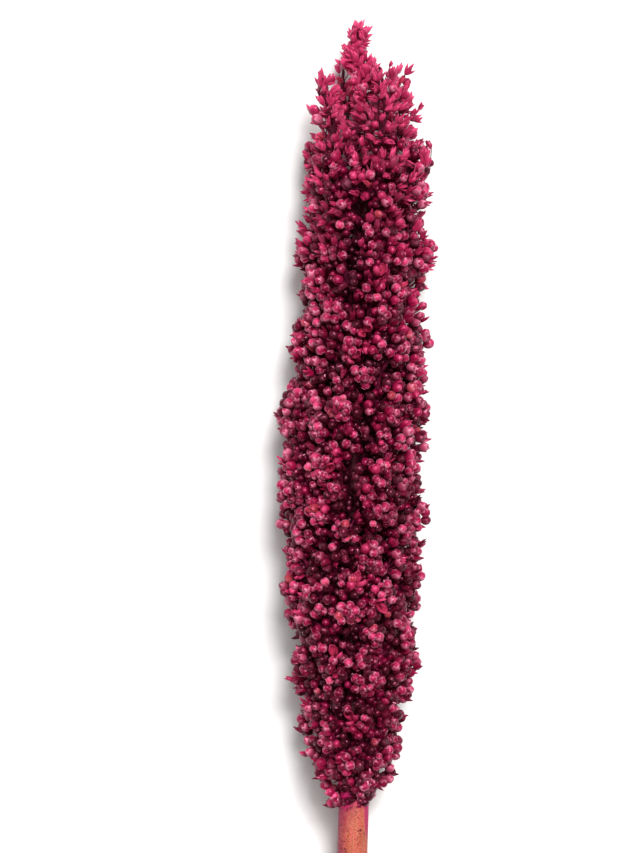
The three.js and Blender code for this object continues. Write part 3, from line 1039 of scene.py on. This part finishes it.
class Sowing:
    """The places of all spikelets, twigs and inner grains of the head."""

    def __init__(self):
        s = sizes()
        rng = np.random.default_rng(s.seed)
        triangles, owners = branch_triangles()
        flat = triangles.reshape(-1, 3)
        tree = BVHTree.FromPolygons(
            [Vector(p) for p in flat], [tuple(range(i, i + 3)) for i in range(0, len(flat), 3)]
        )
        envelope = Envelope(tree)
        points, normals = envelope.sample(SAMPLES, rng)
        hits = [tree.find_nearest(Vector(p))[2] for p in points]
        belongs = owners[hits]
        # the free strands at the top, and the foot of the head, are covered all round
        height = triangles[:, :, 1] - HEAD_FOOT
        ends = (height.min(1) > (STRANDS_FROM - 14) * MM) | (height.max(1) < 12 * MM)
        loose, faces, theirs = scattered(triangles[ends], owners[ends], rng, 0.4 * MM * MM)
        starts = [Vector(p + n * 0.2 * MM) for p, n in zip(loose, faces)]
        clear = np.array([tree.ray_cast(p, Vector(n), 5 * MM)[0] is None for p, n in zip(starts, faces)])
        height = loose[:, 1] - HEAD_FOOT
        clear &= (height > STRANDS_FROM * MM) | ((height < 3 * MM) & (faces[:, 1] < -0.5))
        loose, faces, theirs = loose[clear], faces[clear], theirs[clear]
        points = np.concatenate([points, loose])
        self.normals = np.concatenate([normals, faces])
        self.owners = np.concatenate([belongs, theirs])
        self.points = points
        self.envelope = envelope
        self.rng = rng
        order = rng.permutation(len(points))
        self.lumps = thinned(points, order, np.full(len(points), s.lump))
        sunk = pushed(points)
        order = rng.permutation(np.flatnonzero(sunk > -CLEFT_DEPTH))
        apart = s.spacing * rng.uniform(0.84, 1.16, len(points))
        apart *= 1 + 0.22 * smoothstep(share_at(points[:, 1]), 0.66, 0.82)
        apart *= np.where(self.owners == BRANCHES.index(TIP), 0.6, 1)
        self.outer = thinned(points, order, apart)
        inner = []
        for below_top, wider in INNER_ROWS:
            order = rng.permutation(np.flatnonzero(points[:, 1] < HEAD_FOOT + (CROWDED_TO - below_top) * MM))
            inner.append(thinned(points, order, np.full(len(points), wider * s.inner_spacing)))
        self.inner = np.concatenate(inner)
        self.row = np.repeat(np.arange(len(inner)), [len(some) for some in inner])
        lumps = KDTree(len(self.lumps))
        for i, p in enumerate(points[self.lumps]):
            lumps.insert(p, i)
        lumps.balance()
        self.lump_of = np.array([lumps.find(p)[1] for p in points[self.outer]])

    def path(self, node):
        """The middle line of a branch, from the rachis to its end, kept under the grains."""
        _, path, _ = rings_of(node)
        middle = axis_at(path[:, 1])
        out = path - middle
        angle = np.arctan2(out[:, 2], out[:, 0])
        far = np.linalg.norm(out, axis=1)
        outline = self.envelope.read(self.envelope.smooth, path[:, 1], angle)
        deep = np.maximum(outline - PATH_DEPTH, 0.5 * MM)
        shrink = np.where(path[:, 1] < HEAD_FOOT + STRANDS_FROM * MM, np.minimum(deep / far, 1), 1)
        line = middle + out * shrink[:, None]
        line[-1] = 0.6 * line[-2] + 0.4 * line[-1]
        return line

    def branch(self, index):
        """The batches of one branch: its spikelets, inner grains and twigs."""
        s, rng = sizes(), self.rng
        path = self.path(BRANCHES[index])
        mine = self.owners[self.lumps] == index
        lumps = self.lumps[mine]
        chosen = mine[self.lump_of]
        outer = self.outer[chosen]
        nearest = (np.cumsum(mine) - 1)[self.lump_of[chosen]]
        mine = self.owners[self.inner] == index
        inner, row = self.inner[mine], self.row[mine]
        p, n = self.points[outer], self.normals[outer]
        share = share_at(p[:, 1])
        loose = smoothstep(share, 0.72, 0.9)[:, None]
        centre = self.points[lumps][nearest]
        distance = np.linalg.norm(p - centre, axis=1)
        fall = np.minimum(distance / (s.lump / 2), 1.25) ** 2
        off = p - centre
        off -= (off * n).sum(1, keepdims=True) * n
        p = p - 0.1 * off
        push = relief(p) - s.lump_depth * fall + pushed(p) + rng.normal(0, UNEVEN, len(p))
        push += s.stand_out + 0.5 * MM * loose[:, 0]
        p = p + n * push[:, None]
        lump_n = self.normals[lumps]
        knots = self.points[lumps] - lump_n * KNOT_DEPTH - GROW * KNOT_DROP
        knots = np.maximum(knots, [-1, -1, 0.8 * MM])
        spread = unit(p - knots[nearest])
        lean = 0.22 + 0.45 * loose
        jitter = rng.normal(0, 0.22, p.shape) * (1 + 0.9 * loose)
        ways = unit(0.75 * spread + 0.55 * n + lean * GROW + jitter)
        kinds = kinds_of(share, rng)
        warm = np.zeros(len(p), bool)
        for height, side in OPEN_HUSKS:
            kinds[self.upper_nearest(p, height, side)] = "open_husk"
        for height, side in WARM_GRAINS:
            at = self.upper_nearest(p, height, side)
            kinds[at] = "grain"
            warm[at] = True
        scale = np.clip(rng.normal(1.0, 0.09, len(p)), 0.74, 1.2)
        scale *= np.where(rng.random(len(p)) < 0.07, 0.72, 1.0)
        scale *= 1 + loose[:, 0] * rng.uniform(-0.15, 0.2, len(p))
        scale[kinds == "open_husk"] = 1.2
        tall = s.grain * 1.02 * scale
        feet = p - ways * tall[:, None]
        # Painted shade: a spikelet that stands deeper in the head gets a lower tone, so darker dye. The tone
        # also rises towards the tip of the head.
        depth = np.clip(-push / (4 * MM), 0, 1)
        dye = np.zeros((len(p), 3))
        tone_and_shade = rng.normal(0.48, 0.19, len(p)) - 0.55 * depth
        tone_and_shade += 0.22 * (share - 0.5) + 0.15 * loose[:, 0]
        dye[:, 0] = np.clip(tone_and_shade, 0.02, 1)
        paler = rng.uniform(-0.08, 0.16, len(p))
        paler += smoothstep(share, 0.6, 0.88) * rng.uniform(0.35, 1.0, len(p))
        dye[:, 2] = np.clip(paler, 0, 1)
        dye[np.isin(kinds, ("grain", "floret_grain")), 2] *= 0.3
        dye[:, 1] = np.where(rng.random(len(p)) < 0.02, rng.uniform(0.3, 0.7, len(p)), 0.03)
        dye[warm] = (0.9, 0.6, 0.45)
        dye[kinds == "open_husk"] = (0.9, 0.2, 0.4)
        axes = axes_along(ways, rng.uniform(0, 2 * math.pi, len(p)), scale)
        cell = np.arange(len(p))
        batches = []
        for kind in sorted(set(kinds)):
            at = kinds == kind
            batches.append((kind, axes[at], feet[at], dye[at], cell[at]))
        # pedicels, from the end of the twig to the foot of each spikelet
        width = PEDICEL_WIDTH * scale
        # Painted shade: pedicels get a low tone, so that they stay dark deep in the head.
        dull = np.tile([0.3, 0.0, 0.0], (len(p), 1))
        batches.append(("pedicel", twig_axes(knots[nearest], feet, width), knots[nearest], dull, cell))
        # dried anthers, most of them at the foot of the head
        caught = rng.random(len(p)) < np.where(share < 0.03, 0.6, 0.05)
        ways_a = unit(rng.normal(0, 1, (caught.sum(), 3)) + 0.8 * n[caught])
        rolls = rng.uniform(0, 2 * math.pi, len(ways_a))
        axes_a = axes_along(ways_a, rolls, rng.uniform(0.7, 1.3, len(ways_a)))
        aside = unit(np.cross(n[caught], ways_a)) * ANTHER_ASIDE - n[caught] * ANTHER_SUNK
        pale = np.tile([0.9, 0.0, 0.6], (len(ways_a), 1))
        batches.append(("anther", axes_a, p[caught] + aside, pale, cell[caught]))
        # the grains under the outer ones
        q, m = self.points[inner], self.normals[inner]
        push = pushed(q)
        sunk = s.inner_depth + rng.uniform(0, 1.4 * MM, len(q)) - push - relief(q) + row * ROW_STEP
        q = q - m * sunk[:, None]
        ways = unit(m + 0.4 * GROW + rng.normal(0, 0.4, m.shape))
        q += (path[nearest_of(q, path)] - q) * 0.08
        axes = axes_along(ways, np.zeros(len(q)), rng.uniform(0.85, 1.1, len(q)))
        # Painted shade: the inner grains get a low tone, lowest in the grooves.
        tone_and_shade = rng.uniform(0.1, 0.4, len(q)) * smoothstep(pushed(q), -2.6 * MM, -0.6 * MM)
        dark = np.stack([tone_and_shade, np.zeros(len(q)), np.zeros(len(q))], 1)
        start = len(p)
        cell = start + np.arange(len(q))
        batches.append(("inner_grain", axes, q - ways * 1.02 * s.grain, dark, cell))
        # the branch itself, and a twig from it to each lump
        start += len(q)
        wide = np.linspace(*BRANCH_WIDTHS, len(path))
        fork = nearest_of(knots - GROW * FORK_BELOW, path)
        begins = np.concatenate([path[:-1], path[fork]])
        ends = np.concatenate([path[1:], knots])
        width = np.concatenate([wide[:-1], np.full(len(knots), s.twig)])
        keep = np.linalg.norm(ends - begins, axis=1) > 0.3 * MM
        begins, ends, width = begins[keep], ends[keep], width[keep]
        # Painted shade: the branch and its twigs get a low tone, so that they stay dark deep in the head.
        dull = np.tile([0.25, 0.0, 0.0], (len(begins), 1))
        cell = start + np.arange(len(begins))
        batches.append(("twig", twig_axes(begins, ends, width), begins, dull, cell))
        return batches, start + len(begins)

    @staticmethod
    def upper_nearest(points, height, side):
        """The spikelet nearest to a place on the upper side, or none where all are far from it."""
        y = HEAD_FOOT + height * MM
        across = points[:, 0] - axis_at(np.array([HEAD_FOOT]))[0, 0] - side * MM
        off = np.hypot(points[:, 1] - y, across)
        upper = points[:, 2] > axis_at(points[:, 1])[:, 2]
        off = np.where(upper, off, 1)
        near = len(off) and off.min() < 1.8 * MM
        return [off.argmin()] if near else []


def nearest_of(points, targets):
    """For each point the place of the nearest target."""
    return np.linalg.norm(points[:, None] - targets[None], axis=2).argmin(1)


# ---- The pieces ----


class SEEDHEAD_OT_branches(bpy.types.Operator):
    """Grows every branch of the head, with its twigs, grains, husks and florets"""

    bl_idname = "seedhead.branches"
    bl_label = "Branches"

    def execute(self, context):
        made = model_patterns()
        patterns = {kind: Pattern(ob) for kind, ob in made.items()}
        remove(*made.values())
        materials = [dyed_grain_material(), dyed_husk_material(), dyed_twig_material()]
        sowing = Sowing()
        for index, node in enumerate(BRANCHES):
            batches, cells = sowing.branch(index)
            batches = [(patterns[kind], *rest) for kind, *rest in batches if len(rest[0])]
            piece = plant(f"{node}_seeds", batches, materials, cells)
            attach(piece, "root")
            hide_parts(node)
        return {"FINISHED"}


CANE_SIDES = 56
RIND = 0.7 * MM  # thickness of the hard skin of the cane


class SEEDHEAD_OT_stem(bpy.types.Operator):
    """Models the stem with the rachis: a ribbed cane with a cut, pithy end"""

    bl_idname = "seedhead.stem"
    bl_label = "Stem and rachis"

    def execute(self, context):
        heights, middles, radii = STALK_RINGS
        deselect()
        bpy.ops.mesh.primitive_circle_add(
            vertices=CANE_SIDES,
            radius=radii[0],
            fill_type="NGON",
            location=middles[0],
            rotation=(math.pi / 2, 0, 0),
        )
        ob = context.object
        ob.name = ob.data.name = "stem_and_rachis_cane"
        bpy.ops.object.transform_apply(location=True, rotation=True, scale=True)
        bpy.ops.object.mode_set(mode="EDIT")
        bpy.ops.mesh.select_all(action="SELECT")
        for i in range(1, len(heights)):
            step = middles[i] - middles[i - 1]
            bpy.ops.mesh.extrude_region_move(TRANSFORM_OT_translate={"value": step})
            size = radii[i] / radii[i - 1]
            bpy.ops.transform.resize(value=(size, 1, size), center_override=middles[i])
        bpy.ops.mesh.select_all(action="SELECT")
        bpy.ops.mesh.normals_make_consistent(inside=False)
        # the cut end: a rind round sunken pith
        pick(ob, lambda f: f.normal.y < -0.9 and f.calc_center_median().y < heights[0] + 1e-4)
        bpy.ops.mesh.inset(thickness=RIND, use_even_offset=True)
        bpy.ops.transform.translate(value=(0, 0.45 * MM, 0))
        bpy.ops.mesh.inset(thickness=2.2 * MM, use_even_offset=True)
        bpy.ops.transform.translate(value=(0, 0.35 * MM, 0))
        deselect()
        self.shape(ob, heights, middles, radii)
        ob.data.materials.append(cane_material())
        ob.data.materials.append(pith_material())
        for face in ob.data.polygons:
            at_cut = face.center.y < heights[0] + 1.2 * MM and abs(face.normal.y) > 0.2
            away = Vector(face.center) - Vector(middles[0])
            face.material_index = int(at_cut and away.length < radii[0] - 0.6 * MM)
        choose(ob)
        bpy.ops.object.shade_smooth_by_angle(angle=math.radians(40))
        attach(ob, "root")
        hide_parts(STALK)
        return {"FINISHED"}

    @staticmethod
    def shape(ob, heights, middles, radii):
        """Raises the ribs, presses the cane a little oval, slants the cut, and stores for the
        material which way each vertex faces and how far it is below the grains."""
        co = vertices_of(ob).astype(float)
        middle = np.stack([np.interp(co[:, 1], heights, middles[:, k]) for k in range(3)], 1)
        out = co - middle
        out[:, 1] = 0
        angle = np.arctan2(out[:, 2], out[:, 0])
        rib = np.where(np.round(angle / (2 * math.pi) * CANE_SIDES).astype(int) % 2 == 0, 1.0, 0.0)
        spots = zip(1.6 * angle, 28 * co[:, 1])
        dents = np.array([noise.noise(Vector((a, y, 3.1))) for a, y in spots])
        outside = np.linalg.norm(out, axis=1) > 0.9 * np.interp(co[:, 1], heights, radii)
        swell = 1 + np.where(outside, 0.012 * rib + 0.035 * dents, 0)
        out *= swell[:, None]
        out[:, 2] *= 0.97
        cut = np.exp(-(co[:, 1] - heights[0]) / (6 * MM))
        lean = 0.16 * (co[:, 2] - middle[:, 2]) * cut
        co = middle + out
        co[:, 1] += np.maximum(lean, heights[0] - co[:, 1])
        ob.data.vertices.foreach_set("co", co.astype(np.float32).ravel())
        ob.data.update()
        turned = angle - math.radians(108)  # the bare strip looks up, a little to one side
        face = abs(np.cos(turned))
        note_growth(ob, face, (HEAD_FOOT - co[:, 1]) / MM, np.cos(angle))


CAMERA_ABOVE = 1.15  # metres over the foot of the head
SENSOR_HEIGHT = 24  # millimetres
VIEW_TALL = 1.104922  # height of the view, as a share of the head's length
VIEW_MIDDLE = 0.479922  # height of its middle in the head, as the same kind of share
VIEW_ASIDE = 10.2 * MM  # how far its middle lies to the left of the stem
AIR_LIGHT = 0.05  # strength of the even light from all round


class SEEDHEAD_OT_stage(bpy.types.Operator):
    """Sets the floor, the lamps and the camera, which looks straight down on the head"""

    bl_idname = "seedhead.stage"
    bl_label = "Floor, light and camera"

    def execute(self, context):
        scene = context.scene
        deselect()
        bpy.ops.mesh.primitive_plane_add(size=6, location=(0, 0, 0))
        floor = context.object
        floor.name = "studio_floor"
        floor.data.materials.append(floor_material())
        world = bpy.data.worlds.new("studio_air")
        world.use_nodes = True
        air = world.node_tree.nodes["Background"]
        air.inputs["Color"].default_value = (1, 1, 1, 1)
        air.inputs["Strength"].default_value = AIR_LIGHT
        scene.world = world
        self.sun("key_sun", (0.2, 0.44, 1.0), 20, 3.6)
        self.sun("top_sun", (0.02, 0.12, 1.0), 26, 1.0)
        self.sun("left_sun", (-0.95, 0.2, 0.6), 40, 0.5)
        self.camera(scene)
        scene.view_settings.view_transform = "Standard"
        return {"FINISHED"}

    @staticmethod
    def sun(name, source, spread, strength):
        """A far, broad light that comes from a direction, spread over an angle in degrees."""
        light = bpy.data.lights.new(name, "SUN")
        light.angle = math.radians(spread)
        light.energy = strength
        ob = bpy.data.objects.new(name, light)
        ob.rotation_euler = Vector(source).to_track_quat("Z", "Y").to_euler()
        bpy.context.collection.objects.link(ob)

    @staticmethod
    def camera(scene):
        """The head fills the height of the picture but for a little at its tip, and the stem runs
        out of its lower edge."""
        foot = axis_at(np.array([HEAD_FOOT]))[0]
        lens = bpy.data.cameras.new("studio_camera")
        lens.sensor_fit = "VERTICAL"
        lens.sensor_height = SENSOR_HEIGHT
        lens.lens = SENSOR_HEIGHT * CAMERA_ABOVE / (VIEW_TALL * HEAD_LENGTH)
        camera = bpy.data.objects.new("studio_camera", lens)
        middle_y = HEAD_FOOT + VIEW_MIDDLE * HEAD_LENGTH
        camera.location = (foot[0] - VIEW_ASIDE, middle_y, foot[2] + CAMERA_ABOVE)
        scene.collection.objects.link(camera)
        scene.camera = camera


class SEEDHEAD_PT_panel(bpy.types.Panel):
    """Lists what can be set and built"""

    bl_idname = "SEEDHEAD_PT_panel"
    bl_label = "Sorghum Seed Head"
    bl_space_type = "VIEW_3D"
    bl_region_type = "UI"
    bl_category = "Seed Head"

    def draw(self, context):
        for group in (context.scene.seed_head_sizes, context.scene.seed_head_colours):
            box = self.layout.box()
            for name in group.__annotations__:
                box.prop(group, name)
        for operator in OPERATORS:
            self.layout.operator(operator.bl_idname)


OPERATORS = (SEEDHEAD_OT_branches, SEEDHEAD_OT_stem, SEEDHEAD_OT_stage)
CLASSES = (SeedHeadSizes, SeedHeadColours, *OPERATORS, SEEDHEAD_PT_panel)


def register():
    for made in CLASSES:
        bpy.utils.register_class(made)
    bpy.types.Scene.seed_head_sizes = PointerProperty(type=SeedHeadSizes)
    bpy.types.Scene.seed_head_colours = PointerProperty(type=SeedHeadColours)


def unregister():
    del bpy.types.Scene.seed_head_colours
    del bpy.types.Scene.seed_head_sizes
    for made in reversed(CLASSES):
        bpy.utils.unregister_class(made)


def main():
    register()
    bpy.ops.seedhead.branches()
    bpy.ops.seedhead.stem()
    bpy.ops.seedhead.stage()


if __name__ == "__main__":
    main()
